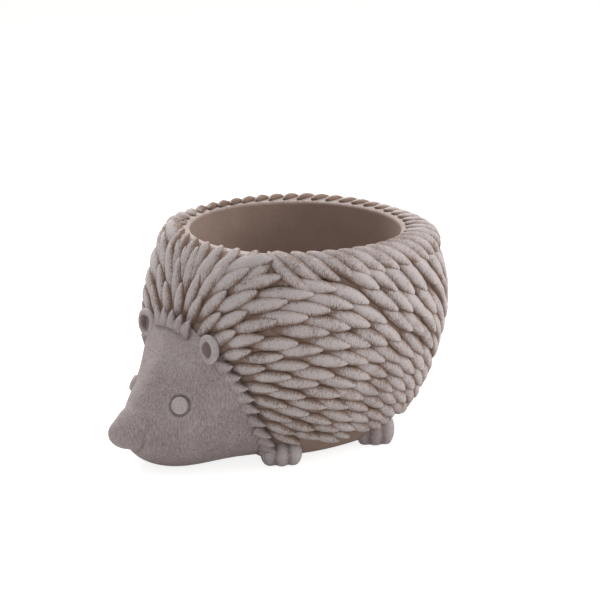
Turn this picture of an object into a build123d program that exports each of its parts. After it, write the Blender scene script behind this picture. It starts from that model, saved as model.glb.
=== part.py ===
from build123d import *
import math
import os

import numpy as np

os.makedirs("parts", exist_ok=True)

# A hedgehog planter: a thick cast bowl whose outside is the animal.
# Millimetres, +Z up. The animal looks along -Y, its left side is +X, and the
# origin is on the ground under the middle of the whole animal.

# Planting hole
opening_radius = 69.6
opening_center_y = 25.0
cavity_draft = 4.0
floor_thickness = 15.0
floor_corner_radius = 40.0
lip_round = 2.0

# Bowl: wall at the rim, then how far the body swells beyond the rim
rim_height = 141.0
rim_side_wall = 6.8
rim_rear_wall = 12.0
rim_front_wall = 5.0
side_swell = 11.6
rear_swell = 12.4
front_swell = 20.4
bowl_half_width = opening_radius + rim_side_wall + side_swell
bowl_rear_reach = opening_radius + rim_rear_wall + rear_swell
bowl_front_reach = opening_radius + rim_front_wall + front_swell
bowl_front_y = opening_center_y - bowl_front_reach
# Reach of the control points of a quarter outline, where 0.55 is an ellipse
bowl_fullness_share = 0.69
# Belly up to the girth: height, then the share of the full reach to the side, rear, front
belly_shares = (
    (0.000, 0.490, 0.500, 0.560),
    (0.014, 0.580, 0.590, 0.630),
    (0.043, 0.655, 0.655, 0.690),
    (0.085, 0.705, 0.705, 0.740),
    (0.142, 0.762, 0.762, 0.800),
    (0.227, 0.838, 0.838, 0.870),
    (0.355, 0.914, 0.914, 0.935),
    (0.496, 0.970, 0.970, 0.985),
    (0.638, 1.000, 1.000, 1.000),
)
# Girth up to the rim: height, then the share of the swell that is left
shoulder_shares = (
    (0.745, 0.940, 0.940, 0.815),
    (0.851, 0.710, 0.710, 0.560),
    (0.936, 0.410, 0.410, 0.305),
    (0.982, 0.190, 0.190, 0.130),
    (1.000, 0.000, 0.000, 0.000),
)

# Drain hole and its rubber bung
drain_radius = 7.0
bung_flange_radius = 12.0
bung_flange_thickness = 3.0
bung_clearance = 0.05
bung_foot_gap = 2.0
bung_edge_round = 0.8
grip_radius = 3.0
grip_height = 5.0

# Face: a broad wedge from the fringe of quills down to the nose
snout_reach = 37.6
face_length = 99.6
face_height = 95.0
face_half_width = 53.0
face_front_y = bowl_front_y - snout_reach
brow_fullness_share = 0.60
jowl_fullness_share = 0.82
# Sections from back to front: forward and up share of the top point and of the foot
# point, half width, then the fullness of the upper and of the lower half
face_shares = (
    (0.321, 1.000, 0.000, 0.042, 0.95, brow_fullness_share, jowl_fullness_share),
    (0.633, 0.995, 0.271, 0.000, 1.00, brow_fullness_share, jowl_fullness_share),
    (0.760, 0.780, 0.542, 0.000, 0.79, 0.38, 0.80),
    (0.884, 0.590, 0.790, 0.000, 0.54, 0.34, 0.75),
    (0.958, 0.470, 0.925, 0.060, 0.34, 0.46, 0.62),
)

# Nose: a blunt knob set on the muzzle's flat end
nose_radius = 10.8
nose_neck_radius = 10.4
nose_length = 15.5
nose_tip_radius = 5.5
nose_height = 25.6
nose_rise_angle = 6.0

# Eyes
eye_height = 47.0
eye_setback = 47.6
eye_turn_angle = 45.0
eye_radius = 4.6
eye_bulge = 2.6
eye_socket_radius = 7.2
eye_socket_depth = 1.6

# Ears
ear_side = 33.0
ear_top_drop = 10.5
ear_center_height = face_height - ear_top_drop
ear_turn_angle = 18.0
ear_lean_angle = 12.0
ear_width = 18.0
ear_height = 21.0
ear_depth = 13.0
ear_stand = 7.0
ear_rim_width = 4.8
ear_hollow_depth = 5.0
ear_edge_round = 2.0

# Paws: short legs that lean in from under the coat and end in three toes
front_paw_y = -24.0
rear_paw_y = 47.0
paw_root_height = 19.0
paw_root_depth = -2.0
paw_lean_in = 15.0
toe_forward_lean = 4.0
toe_root_radius = 8.2
toe_tip_radius = 5.8
toe_flat = 0.5
front_root_gap = 9.5
rear_root_gap = 7.5
front_toe_gap = 8.2
rear_toe_gap = 6.8
toe_count = 3

# Quills
quill_length = 30.0
quill_half_width = 4.7
quill_half_height = 3.6
quill_tip_lift = 1.8
quill_sink = 0.2
# Widest place of a quill, and along it from root to tip: place, half width, half height
quill_seat_share = 0.5
quill_shares = (
    (0.00, 0.26, 0.32),
    (0.18, 0.70, 0.70),
    (0.50, 1.00, 1.00),
    (0.76, 0.84, 0.90),
    (0.93, 0.50, 0.58),
    (1.00, 0.22, 0.28),
)
# Size of a quill by height on the wall
quill_height_shares = ((0.10, 0.82), (0.35, 0.93), (0.70, 1.04), (0.92, 1.18), (1.00, 1.24))
# Size of a quill by distance from the middle of the face
quill_near_reach = 52.0
quill_far_reach = 95.0
quill_near_share = 0.82
quill_far_share = 1.0
# A quill's width follows this power of its size, so that long quills stay slim
quill_slimness_share = 0.6

# Coat: spacing of the quills, and where it starts and stops
quill_spacing_along = 25.0
quill_spacing_across = 13.0
# The coat is laid once at full spacing, then small quills fill what is left bare
coat_pass_shares = (1.0, 0.75, 0.55)
face_margin = 5.0
skirt_height = 17.0
skirt_rise = 14.0
crest_height = 2.5
# Least step of a tip that the opening stops, as a share of its full step
crest_stand_share = 0.4
rim_band_width = 2.5
search_step = 2.0
rim_search_count = 5
# The quills stream away from one pole behind the face and from one above the back,
# towards one under the tail
face_pole_setback = 57.6
face_pole_height = 48.0
back_pole_y = 45.0
back_pole_height = 175.0
back_pole_share = 0.5
tail_pole_y = 78.0
tail_pole_height = 4.0
# Zones of the coat
crown_half_width = 42.0
crown_rear_y = -30.0
shoulder_rear_y = 5.0
flank_rear_y = 55.0
rump_half_width = 35.0
rim_zone_height = 131.0

# Fringe: flat pointed teeth that overlap the first quills
tooth_count = 44
tooth_length = 15.0
tooth_half_width = 3.9
tooth_half_height = 2.2
tooth_lift = 1.4
tooth_sink = -3.0
tooth_start_height = 10.0
tooth_seat_share = 0.40
tooth_shares = (
    (0.00, 0.85, 0.70),
    (0.45, 1.00, 1.00),
    (0.75, 0.60, 0.80),
    (1.00, 0.10, 0.25),
)

# Walks over the skin: steps to the root and to the tip, and the probe for slopes
root_steps = 4
tip_steps = 6
probe_share = 0.004
aim_share = 0.1

# Turns of a walk round the bowl, one for each quarter, and a cut's overrun
quarters = 4
overrun = 20.0

face_pole = np.array((0, face_front_y + face_pole_setback, face_pole_height))
back_pole = np.array((0, back_pole_y, back_pole_height))
tail_pole = np.array((0, tail_pole_y, tail_pole_height))


def quarter(steps, fullness):
    """Points of the unit quarter outline that every section is built from."""
    rest = 1 - steps
    x = rest**3 + 3 * rest**2 * steps + 3 * rest * steps**2 * fullness
    y = 3 * rest**2 * steps * fullness + 3 * rest * steps**2 + steps**3
    return x, y


def outline_wire(plane, sides, fullness):
    """Closed outline of four quarters; sides are its reach right, up, left and down."""
    right, up, left, down = sides
    full_up, full_down = fullness
    corners = (
        (right, 0, 0, up, full_up),
        (0, up, -left, 0, full_up),
        (-left, 0, 0, -down, full_down),
        (0, -down, right, 0, full_down),
    )
    edges = []
    for x0, y0, x1, y1, full in corners:
        first = (x0 + x1 * full, y0 + y1 * full)
        second = (x0 * full + x1, y0 * full + y1)
        edges.append(plane.location * Edge.make_bezier((x0, y0), first, second, (x1, y1)))
    return Wire(edges)


def bowl_table():
    """Rows of height, then reach to the side, rear and front."""
    full = np.array((bowl_half_width, bowl_rear_reach, bowl_front_reach))
    swell = np.array((side_swell, rear_swell, front_swell))
    rows = [[row[0] * rim_height, *(full * row[1:])] for row in belly_shares]
    for row in shoulder_shares:
        left = np.array(row[1:])
        rows.append([row[0] * rim_height, *(full - swell * (1 - left))])
    return np.array(rows)


bowl_rows = bowl_table()


def bowl_reach(height):
    """Reach of the bowl to the side, rear and front at a height."""
    return [np.interp(height, bowl_rows[:, 0], bowl_rows[:, k]) for k in (1, 2, 3)]


def skin(turn, rise):
    """Points of the bowl's skin. A turn of 0 is the left side, 1 the rear, 2 the right
    side and 3 the front. A rise of 0 to 1 climbs the wall, and 1 to 2 crosses the rim."""
    turn = np.mod(turn, quarters)
    quadrant = np.floor(turn)
    first, second = quarter(turn - quadrant, bowl_fullness_share)
    odd = np.mod(quadrant, 2) == 1
    height = np.minimum(rise, 1) * rim_height
    side, rear, front = bowl_reach(height)
    right = (quadrant == 1) | (quadrant == 2)
    x = np.where(odd, second, first) * np.where(right, -side, side)
    y = np.where(odd, first, second) * np.where(quadrant < 2, rear, -front)
    length = np.hypot(x, y)
    inward = 1 + (opening_radius / length - 1) * np.clip(rise - 1, 0, 1)
    return np.stack([x * inward, y * inward + opening_center_y, height], axis=-1)


def skin_frame(turn, rise):
    """Point, two edge directions and the outward normal of the skin."""
    point = skin(turn, rise)
    along = skin(turn + probe_share, rise) - skin(turn - probe_share, rise)
    up = skin(turn, rise + probe_share) - skin(turn, rise - probe_share)
    normal = np.cross(along, up)
    normal = normal / np.linalg.norm(normal, axis=-1, keepdims=True)
    return point, along / (2 * probe_share), up / (2 * probe_share), normal


def front_place(x, height):
    """Turn and rise of the skin's point at a side place and a height of the front."""
    steps = np.linspace(0, 1, 101)
    reach = quarter(steps, bowl_fullness_share)[1]
    turned = np.interp(abs(x) / bowl_reach(height)[0], reach, steps)
    return 3 + math.copysign(turned, x), height / rim_height


def side_reach(y, height):
    """Half width of the bowl at a place along its length and a height."""
    side, rear, front = bowl_reach(height)
    steps = np.linspace(0, 1, 101)
    wide, deep = quarter(steps, bowl_fullness_share)
    ahead = opening_center_y - y
    share = ahead / front if ahead > 0 else -ahead / rear
    return side * np.interp(share, deep, wide)


def stream(point, normal):
    """Unit direction in which the quills lie at a point of the skin."""
    flow = np.zeros_like(point)
    for pole, strength in ((face_pole, 1), (back_pole, back_pole_share), (tail_pole, -1)):
        away = point - pole
        flow = flow + strength * away / np.sum(away**2, axis=-1, keepdims=True)
    flow = flow - normal * np.sum(flow * normal, axis=-1, keepdims=True)
    return flow / np.linalg.norm(flow, axis=-1, keepdims=True)


def quill_size(points):
    """Size of the quills at points of the skin, as a share of the full quill."""
    heights, sizes = np.array(quill_height_shares).T
    by_height = np.interp(points[:, 2] / rim_height, heights, sizes)
    reach = np.linalg.norm(points - face_pole, axis=1)
    ends = (quill_near_reach, quill_far_reach)
    return by_height * np.interp(reach, ends, (quill_near_share, quill_far_share))


def rim_width(turn):
    """Width of the rim from its outer edge to the opening."""
    edge = skin(turn, 1.0)
    return math.hypot(edge[0], edge[1] - opening_center_y) - opening_radius


def rise_limit(turn):
    """Rise at which the smooth band round the opening begins."""
    width = rim_width(turn)
    return 1 + max(width - rim_band_width, 0) / width


def climbed(turn, rise, change):
    """Rise after a change that may cross the rim's edge, where its scale changes."""
    beyond = rise + change - 1
    scale = rim_width(turn) / rim_height
    if rise > 1 > rise + change:
        return 1 + beyond * scale
    if rise < 1 < rise + change:
        return 1 + beyond / scale
    return rise + change


def walk(turn, rise, distance, steps):
    """Points and normals of a walk over the skin along the stream, or against it if the
    distance is negative. At the band round the opening a walk back stops, and a walk on
    no longer nears the opening, so that the tips there stand up as a low crest."""
    points = []
    normals = []
    crest_step = None
    for index in range(steps + 1):
        point, along, up, normal = skin_frame(turn, rise)
        if crest_step is None and index > 0 and rise >= rise_limit(turn):
            if distance < 0:
                break
            heading = points[-1] - points[-2] if index > 1 else stream(points[-1], normals[-1])
            outward = points[-1] - np.array((0, opening_center_y, points[-1][2]))
            outward = outward / np.linalg.norm(outward)
            heading = heading / np.linalg.norm(heading)
            heading = heading - outward * min(heading @ outward, 0)
            stand = max(crest_stand_share - np.linalg.norm(heading), 0)
            crest_step = (heading + np.array((0, 0, stand))) * distance / steps
        if crest_step is not None:
            point = points[-1] + crest_step
            normal = normals[-1]
        points.append(point)
        normals.append(normal)
        move = stream(point, normal) * distance / steps
        change = np.linalg.lstsq(np.stack([along, up], axis=-1), move, rcond=None)[0]
        rise = climbed(turn, rise, change[1])
        turn = turn + change[0]
    return points, normals


def spine_at(place, length, seat_share):
    """Points and normals along a quill whose widest part sits at the given place."""
    back = walk(*place, -length * seat_share, root_steps)
    ahead = walk(*place, length * (1 - seat_share), tip_steps)
    return [behind[::-1] + beyond[1:] for behind, beyond in zip(back, ahead)]


def quill_solid(spine, shares, half_width, half_height, lift, sink):
    """One quill lofted along its spine, half sunk in the skin, with its tip raised."""
    points, normals = np.array(spine)
    steps = np.linalg.norm(np.diff(points, axis=0), axis=1)
    walked = np.concatenate([[0], np.cumsum(steps)]) / np.sum(steps)

    def along(values, share):
        return np.array([np.interp(share, walked, values[:, k]) for k in range(3)])

    wires = []
    for share, width, height in shares:
        normal = along(normals, share)
        middle = along(points, share) + normal * (lift * share**2 - sink)
        ahead = along(points, share + aim_share) - along(points, share - aim_share)
        across = np.cross(normal, ahead)
        plane = Plane(origin=tuple(middle), x_dir=tuple(across), z_dir=tuple(ahead))
        oval = Edge.make_ellipse(half_width * width, half_height * height, plane)
        wires.append(Wire([oval]))
    return Solid.make_loft(wires)


def face_edge(angles):
    """Side place and height of the edge between face and quills, four quarters round."""
    quadrant = np.floor(angles)
    upper = quadrant < 2
    fullness = np.where(upper, brow_fullness_share, jowl_fullness_share)
    first, second = quarter(angles - quadrant, fullness)
    odd = np.mod(quadrant, 2) == 1
    left = (quadrant == 1) | (quadrant == 2)
    x = np.where(odd, second, first) * np.where(left, -1, 1)
    z = np.where(odd, first, second) * np.where(upper, 1, -1)
    return x * face_half_width, (1 + z) * face_height / 2


def under_face(points):
    """Whether points of the skin lie under the face or just beside it."""
    middle = face_height / 2
    x, z = face_edge(np.linspace(0, quarters, 240, endpoint=False))
    bearing = np.arctan2(z - middle, x)
    order = np.argsort(bearing)
    place = np.arctan2(points[:, 2] - middle, points[:, 0])
    edge = np.hypot(x, z - middle)[order]
    limit = np.interp(place, bearing[order], edge, period=2 * math.pi)
    distance = np.hypot(points[:, 0], points[:, 2] - middle)
    return (distance < limit + face_margin) & (points[:, 1] < opening_center_y)


def coat_candidates():
    """A fine grid of places on the wall and on the rim, up to the smooth band."""
    turn_step = quarters * search_step / (2 * math.pi * bowl_half_width)
    wall = np.arange(skirt_height, rim_height, search_step) / rim_height
    crossing = np.linspace(0, 1, rim_search_count, endpoint=False)
    places = []
    for turn in np.arange(0, quarters, turn_step):
        rim = 1 + crossing * (rise_limit(turn) - 1)
        places += [(turn, rise) for rise in np.concatenate([wall, rim])]
    return np.array(places)


def lay_coat():
    """Place and size of every quill. The coat grows row by row from the face to the
    tail, and a quill is set where it clears those before it by a diamond round each."""
    places = coat_candidates()
    points, _, _, normals = skin_frame(places[:, 0], places[:, 1])
    flow = stream(points, normals)
    lateral = np.cross(normals, flow)
    full_size = quill_size(points)
    backward = np.clip((points[:, 1] - opening_center_y) / bowl_rear_reach, 0, 1)
    above_skirt = points[:, 2] > skirt_height + skirt_rise * backward
    reach = full_size * quill_length * (1 - quill_seat_share)
    below_crest = points[:, 2] + flow[:, 2] * reach < rim_height + crest_height
    narrow_rim = (places[:, 1] >= 1) & (points[:, 1] < crown_rear_y)
    free = above_skirt & below_crest & ~under_face(points) & ~narrow_rim
    from_face = np.linalg.norm(points - face_pole, axis=1)
    from_tail = np.linalg.norm(points - tail_pole, axis=1)
    order = [index for index in np.argsort(from_face / from_tail) if free[index]]
    chosen = []
    sizes = []
    for pass_share in coat_pass_shares:
        for index in order:
            own_size = full_size[index] * pass_share
            offset = points[chosen] - points[index]
            size = (np.array(sizes) + own_size) / 2
            along = np.abs(offset @ flow[index]) + np.abs(offset @ normals[index])
            along = along / (quill_spacing_along * size)
            across = np.abs(offset @ lateral[index])
            across = across / (quill_spacing_across * size**quill_slimness_share)
            if len(chosen) == 0 or np.min(along + across) >= 1:
                chosen.append(index)
                sizes.append(own_size)
    return places[chosen], points[chosen], sizes


def zone_name(point):
    """Name of the part of the coat that a quill belongs to."""
    x, y, z = point
    side = "left" if x > 0 else "right"
    if y < crown_rear_y and abs(x) < crown_half_width:
        return "crown_quills"
    if z > rim_zone_height:
        return f"{side}_rim_quills"
    if y < shoulder_rear_y:
        return f"{side}_shoulder_quills"
    if y < flank_rear_y:
        return f"{side}_flank_quills"
    if abs(x) < rump_half_width:
        return "rump_quills"
    return f"{side}_haunch_quills"


def coat_zones():
    """The quills of each zone as a group of solids."""
    zones = {}
    for place, point, size in zip(*lay_coat()):
        slim = size**quill_slimness_share
        half_width = quill_half_width * slim
        half_height = quill_half_height * slim
        spine = spine_at(place, quill_length * size, quill_seat_share)
        quill = quill_solid(spine, quill_shares, half_width, half_height, quill_tip_lift, quill_sink)
        zones.setdefault(zone_name(point), []).append(quill)
    return {name: Compound(quills) for name, quills in zones.items()}


def fringe_teeth():
    """Pointed teeth round the face that lie on the roots of the first quills."""
    teeth = []
    for index in range(tooth_count):
        x, height = face_edge(np.array(quarters * index / tooth_count))
        if height < tooth_start_height:
            continue
        place = front_place(float(x), float(height))
        spine = spine_at(place, tooth_length, tooth_seat_share)
        tooth = quill_solid(
            spine, tooth_shares, tooth_half_width, tooth_half_height, tooth_lift, tooth_sink
        )
        teeth.append(tooth)
    return Compound(teeth)


def bowl_core():
    """Outside of the bowl as one closed solid."""
    wires = []
    for height, side, rear, front in bowl_rows:
        plane = Plane(origin=(0, opening_center_y, height))
        fullness = (bowl_fullness_share, bowl_fullness_share)
        wires.append(outline_wire(plane, (side, rear, side, front), fullness))
    return Solid.make_loft(wires)


def turned(line):
    """Solid turned about +Z from a closed profile drawn in radius and height."""
    return revolve(Plane.XZ * make_face(line), Axis.Z)


def cavity_cut():
    """Inside of the bowl: a drafted round hole with a rounded floor and lip."""
    wall_height = floor_thickness + floor_corner_radius
    foot_radius = opening_radius - cavity_draft
    flat_radius = foot_radius - floor_corner_radius
    lip_height = rim_height - lip_round
    lip_radius = opening_radius + lip_round
    top = rim_height + overrun
    line = Line((0, floor_thickness), (flat_radius, floor_thickness))
    line += CenterArc((flat_radius, wall_height), floor_corner_radius, 270, 90)
    line += Line((foot_radius, wall_height), (opening_radius, lip_height))
    line += CenterArc((lip_radius, lip_height), lip_round, 180, -90)
    line += Line((lip_radius, rim_height), (lip_radius, top))
    line += Line((lip_radius, top), (0, top))
    line += Line((0, top), (0, floor_thickness))
    return Location((0, opening_center_y, 0)) * turned(line)


def drain_cut():
    """Hole through the floor and the recess that takes the bung's flange."""
    hole = Cylinder(drain_radius, floor_thickness + overrun)
    recess = Cylinder(bung_flange_radius + bung_clearance, bung_flange_thickness + overrun)
    recess_middle = floor_thickness + (overrun - bung_flange_thickness) / 2
    cut = hole + Location((0, 0, recess_middle)) * recess
    return Location((0, opening_center_y, 0)) * cut


def knob(radius, height, foot):
    """Upright cylinder that stands on a height and has a rounded top edge."""
    solid = Cylinder(radius, height)
    solid = fillet(solid.edges().sort_by(Axis.Z)[-1], bung_edge_round)
    return Location((0, 0, foot + height / 2)) * solid


def bung_solid():
    """Mushroom bung that drops into the floor's recess, with a finger grip on top."""
    flange_foot = floor_thickness - bung_flange_thickness
    stem_length = flange_foot - bung_foot_gap
    stem = Cylinder(drain_radius - bung_clearance, stem_length)
    stem = Location((0, 0, bung_foot_gap + stem_length / 2)) * stem
    flange = knob(bung_flange_radius, bung_flange_thickness, flange_foot)
    grip = knob(grip_radius, grip_height, floor_thickness)
    return Location((0, opening_center_y, 0)) * (stem + flange + grip)


def face_place(forward, up):
    """Y and Z of a place of the face's profile."""
    return face_front_y + (1 - forward) * face_length, up * face_height


def nose_plane():
    """Plane of the joint between muzzle and nose."""
    angle = math.radians(nose_rise_angle)
    ahead = (0, -math.cos(angle), math.sin(angle))
    return Plane(origin=(0, face_front_y, nose_height), x_dir=(1, 0, 0), z_dir=ahead)


def face_blank():
    """Muzzle and cheeks, running on into the bowl behind."""
    wires = []
    for top_y, top_z, foot_y, foot_z, width, full_up, full_down in face_shares:
        top = Vector(0, *face_place(top_y, top_z))
        foot = Vector(0, *face_place(foot_y, foot_z))
        up = top - foot
        half = up.length / 2
        ahead = Vector(1, 0, 0).cross(up)
        plane = Plane(origin=(top + foot) / 2, x_dir=(1, 0, 0), z_dir=ahead)
        reach = width * face_half_width
        wires.append(outline_wire(plane, (reach, half, reach, half), (full_up, full_down)))
    circle_share = 4 / 3 * (math.sqrt(2) - 1)
    neck = (nose_neck_radius,) * 4
    wires.append(outline_wire(nose_plane(), neck, (circle_share, circle_share)))
    return Solid.make_loft(wires)


def nose_solid():
    """Blunt knob, turned about the muzzle's end."""
    cheek = (nose_radius, nose_length / 3)
    brow = (nose_tip_radius, nose_length - nose_tip_radius / 4)
    start = (nose_neck_radius, 0)
    line = Line((0, 0), start)
    line += Spline(start, cheek, brow, (0, nose_length), tangents=((1, 1), (-1, 0)))
    line += Line((0, nose_length), (0, 0))
    return nose_plane().location * turned(line)


def eye_plane(blank, side):
    """Plane on the cheek under an eye, facing out."""
    angle = math.radians(eye_turn_angle)
    look = (side * math.sin(angle), -math.cos(angle), 0)
    start = (0, face_front_y + eye_setback, eye_height)
    point, normal = blank.find_intersection_points(Axis(start, look))[-1]
    return Plane(origin=point, z_dir=normal)


def eye_solid(plane):
    """Low dome that stands on the socket's floor."""
    crown = eye_socket_depth + eye_bulge
    edge = (eye_radius, eye_socket_depth)
    line = Line((0, 0), (eye_radius, 0))
    line += Line((eye_radius, 0), edge)
    line += Bezier(edge, (eye_radius, crown), (eye_radius / 2, crown), (0, crown))
    line += Line((0, crown), (0, 0))
    return plane.location * Location((0, 0, -eye_socket_depth)) * turned(line)


def eye_socket(plane):
    """Round pocket of the face for an eye."""
    pocket = Cylinder(eye_socket_radius, eye_socket_depth + overrun)
    return plane.location * Location((0, 0, (overrun - eye_socket_depth) / 2)) * pocket


def ear_solid(side):
    """Thick oval with a hollow in front, set on the skin above the cheek."""
    turn = math.radians(ear_turn_angle)
    lean = math.radians(ear_lean_angle)
    look = (
        side * math.sin(turn) * math.cos(lean),
        -math.cos(turn) * math.cos(lean),
        math.sin(lean),
    )
    right = (math.cos(turn), side * math.sin(turn), 0)
    seat = skin(*front_place(side * ear_side, ear_center_height))
    plane = Plane(origin=tuple(seat), x_dir=right, z_dir=look)
    ear = extrude(Ellipse(ear_width / 2, ear_height / 2), ear_depth)
    ear = fillet(ear.edges().sort_by(Axis.Z)[-1], ear_edge_round)
    hollow_width = ear_width / 2 - ear_rim_width
    hollow_height = ear_height / 2 - ear_rim_width
    hollow = extrude(Ellipse(hollow_width, hollow_height), ear_hollow_depth + overrun)
    ear = ear - Location((0, 0, ear_depth - ear_hollow_depth)) * hollow
    return plane.location * Location((0, 0, ear_stand - ear_depth)) * ear


def ground_cut():
    """Slab under the ground, so that the animal stands flat."""
    length = 2 * (opening_center_y + bowl_rear_reach)
    return Location((0, 0, -overrun / 2)) * Box(2 * bowl_half_width, 2 * length, overrun)


def toe_solid(root, tip):
    """Tapered, round-ended bullet from a point in the body to the middle of its tip."""
    reach = Vector(*tip) - Vector(*root)
    line = Line((0, 0), (toe_root_radius, 0))
    line += Line((toe_root_radius, 0), (toe_tip_radius, reach.length))
    line += CenterArc((0, reach.length), toe_tip_radius, 0, 90)
    line += Line((0, reach.length + toe_tip_radius), (0, 0))
    return Plane(origin=root, z_dir=reach).location * turned(line)


def paw_solid(side, paw_y, root_gap, toe_gap):
    """Toes side by side, flat underneath; the left paw mirrors the right one."""
    root_x = side_reach(paw_y, paw_root_height) - paw_root_depth
    tip_x = root_x - paw_lean_in
    paw = None
    for index in range(toe_count):
        place = index - (toe_count - 1) / 2
        root = (-root_x, paw_y + place * root_gap, paw_root_height)
        tip_y = paw_y + toe_forward_lean + place * toe_gap
        tip = (-tip_x, tip_y, toe_tip_radius - toe_flat)
        toe = toe_solid(root, tip) - ground_cut()
        paw = toe if paw is None else paw + toe
    return mirror(paw, about=Plane.YZ) if side > 0 else paw


def planter_nodes():
    """Every node of the planter by name."""
    core = bowl_core()
    blank = face_blank()
    nodes = {
        "pot_shell": core - cavity_cut() - drain_cut(),
        "nose": nose_solid(),
        "face_fringe": fringe_teeth(),
        "drain_bung": bung_solid(),
    }
    face = blank - core - ground_cut()
    for word, side in (("left", 1), ("right", -1)):
        plane = eye_plane(blank, side)
        face = face - eye_socket(plane)
        nodes[f"{word}_eye"] = eye_solid(plane)
        nodes[f"{word}_ear"] = ear_solid(side) - core - blank
        front = paw_solid(side, front_paw_y, front_root_gap, front_toe_gap)
        rear = paw_solid(side, rear_paw_y, rear_root_gap, rear_toe_gap)
        nodes[f"front_{word}_paw"] = (front - core - blank).solids().sort_by(SortBy.VOLUME)[-1]
        nodes[f"rear_{word}_paw"] = (rear - core).solids().sort_by(SortBy.VOLUME)[-1]
    nodes["face"] = face
    nodes.update(coat_zones())
    return nodes


for name, shape in planter_nodes().items():
    export_step(shape, f"parts/{name}.step")
    print(name, len(shape.solids()), "solids", round(shape.volume), "mm3")
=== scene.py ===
# %% [markdown]
# # A hedgehog planter, cast in a cement mix
#
# The object is a garden planter shaped as a hedgehog. It is one casting: a thick bowl with a
# coat of raised quills, a smooth face, two ring-shaped ears and four small paws. The CAD model
# gives every piece its place. This script gives the pieces the look of the real casting.
#
# We start by loading the CAD model. Its objects stay where they are, and we keep the size of
# its box, because nothing we make may change how large the planter is.

import math

import bmesh
import bpy
import numpy as np
from mathutils import Matrix, Vector
from mathutils.bvhtree import BVHTree


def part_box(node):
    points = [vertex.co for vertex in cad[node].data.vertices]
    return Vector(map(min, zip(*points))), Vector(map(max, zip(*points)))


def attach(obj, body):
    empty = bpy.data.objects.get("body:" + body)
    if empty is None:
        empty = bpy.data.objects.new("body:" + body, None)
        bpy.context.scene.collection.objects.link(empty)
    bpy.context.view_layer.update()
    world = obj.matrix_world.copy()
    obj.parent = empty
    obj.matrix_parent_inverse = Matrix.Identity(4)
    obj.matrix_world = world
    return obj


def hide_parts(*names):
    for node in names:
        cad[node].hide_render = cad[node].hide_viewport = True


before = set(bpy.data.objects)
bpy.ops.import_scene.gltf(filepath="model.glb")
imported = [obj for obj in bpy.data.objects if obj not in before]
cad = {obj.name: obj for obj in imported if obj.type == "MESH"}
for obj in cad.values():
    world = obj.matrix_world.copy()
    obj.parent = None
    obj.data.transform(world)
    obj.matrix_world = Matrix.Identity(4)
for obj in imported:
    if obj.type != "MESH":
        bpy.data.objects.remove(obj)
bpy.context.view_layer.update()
MM = 0.001


# %% [markdown]
# ## Small tools
#
# Colours are written as they look on a screen, in hex. The renderer wants linear values, so
# one function turns them. Another adds a node, sets it up and links it, because both the
# materials and the Geometry Nodes below are long chains of nodes. A third turns the size of a
# pattern's cells into the scale that the pattern nodes take, and a fourth makes an object.

# %% Colours and nodes
def linear(hex_colour):
    """Turns a screen colour such as '#8F786B' into the linear RGBA that shaders use."""
    shares = [int(hex_colour[i:i + 2], 16) / 255 for i in (1, 3, 5)]
    return tuple(s / 12.92 if s <= 0.04045 else ((s + 0.055) / 1.055) ** 2.4 for s in shares) + (1.0,)


def add_node(tree, kind, inputs=None, **settings):
    """Adds a node. A value for an input is either a number or the socket that feeds it."""
    made = tree.nodes.new(kind)
    for name, value in settings.items():
        setattr(made, name, value)
    for key, value in (inputs or {}).items():
        if isinstance(value, bpy.types.NodeSocket):
            tree.links.new(value, made.inputs[key])
        else:
            made.inputs[key].default_value = value
    return made


def new_object(name, data):
    """A new object with this data, in the scene."""
    made = bpy.data.objects.new(name, data)
    bpy.context.collection.objects.link(made)
    return made


def per_metre(size_mm):
    """The scale of a pattern whose cells are size_mm wide, on coordinates in metres."""
    return 1.0 / (size_mm * MM)


print("screen grey #808080 is linear", round(linear("#808080")[0], 3))


# %% [markdown]
# ## The camera
#
# The photograph looks at the planter from its front left, from a little above, with a long
# lens from about 1.15 m away. The object sits left of and below the middle of the picture, so
# the lens is shifted by a few percent instead of turning the camera.

# %% Camera
VIEW_AZIMUTH = math.radians(53.4)
VIEW_HEIGHT = math.radians(18.2)
VIEW_DISTANCE = 1150 * MM
VIEW_TARGET = Vector((0, 0, 65 * MM))
FOCAL_LENGTH_MM = 103.5
SENSOR_MM = 36
LENS_SHIFT = (35 / 600, 42.3 / 600)  # right and up, as shares of the picture's side

towards_camera = Vector((
    math.sin(VIEW_AZIMUTH) * math.cos(VIEW_HEIGHT),
    -math.cos(VIEW_AZIMUTH) * math.cos(VIEW_HEIGHT),
    math.sin(VIEW_HEIGHT),
))
lens = bpy.data.cameras.new("photo_lens")
lens.sensor_width = SENSOR_MM
lens.lens = FOCAL_LENGTH_MM
lens.shift_x, lens.shift_y = LENS_SHIFT
camera = new_object("photo_camera", lens)
camera.location = VIEW_TARGET + towards_camera * VIEW_DISTANCE
camera.rotation_euler = (-towards_camera).to_track_quat("-Z", "Y").to_euler()
bpy.context.scene.camera = camera
print("camera at", [round(value, 3) for value in camera.location])


# %% [markdown]
# ## A white studio
#
# The planter stands on white paper. The light comes from all round, and most of it from
# behind and above, so that the back edge and the top of the head are the brightest parts.
# Paper and air are white only where they are seen, straight or in a reflection. To all other
# rays the paper is plain and pale and the air is dim, so they don't throw more light on the
# object, and the paper still takes the object's shadow.

# %% Floor
PAPER_HALF = 3.0  # in m
PAPER_GLOW = 0.84  # of the paper as it is seen
WHITE = (1, 1, 1, 1)


def seen_rays(tree):
    """1 for rays that show a thing, straight, mirrored or through glass, and 0 for others."""
    rays = add_node(tree, "ShaderNodeLightPath").outputs
    mirrored = add_node(tree, "ShaderNodeMath", {0: rays["Is Camera Ray"], 1: rays["Is Glossy Ray"]},
                        operation="MAXIMUM")
    either = add_node(tree, "ShaderNodeMath", {0: mirrored.outputs[0], 1: rays["Is Transmission Ray"]},
                      operation="MAXIMUM")
    return either.outputs[0]


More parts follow.
